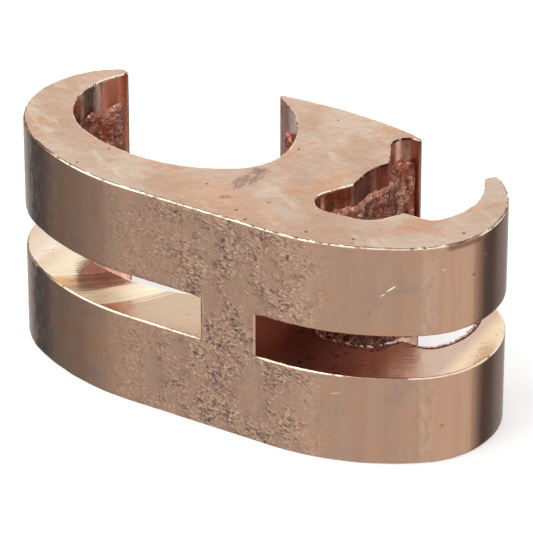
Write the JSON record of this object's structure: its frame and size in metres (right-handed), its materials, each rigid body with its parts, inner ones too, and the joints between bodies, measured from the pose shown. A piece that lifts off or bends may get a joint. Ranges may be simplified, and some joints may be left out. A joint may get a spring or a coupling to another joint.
{
  "type": "e-type grounding connector",
  "caption": "Extruded copper E-shaped crimp connector: large and small conductor grooves either side of a middle arm, with a slot sawn in from each end.",
  "frame": {"origin": "centre of the footprint, on the lower end face that the connector stands on", "axes": "+Z along the extrusion and both conductors, +Y out of the two grooves' mouths, +X from the large groove towards the small one"},
  "size_m": [0.0564, 0.026, 0.027],
  "materials": {
    "copper": "satin, tumbled, tarnished to tan in places",
    "joint_compound": "wet, gritty"
  },
  "bodies": {
    "root": {"connector_body": "copper", "run_groove_compound": "joint_compound", "tap_groove_compound_upper": "joint_compound", "tap_groove_compound_lower": "joint_compound"}
  },
  "joints": []
}
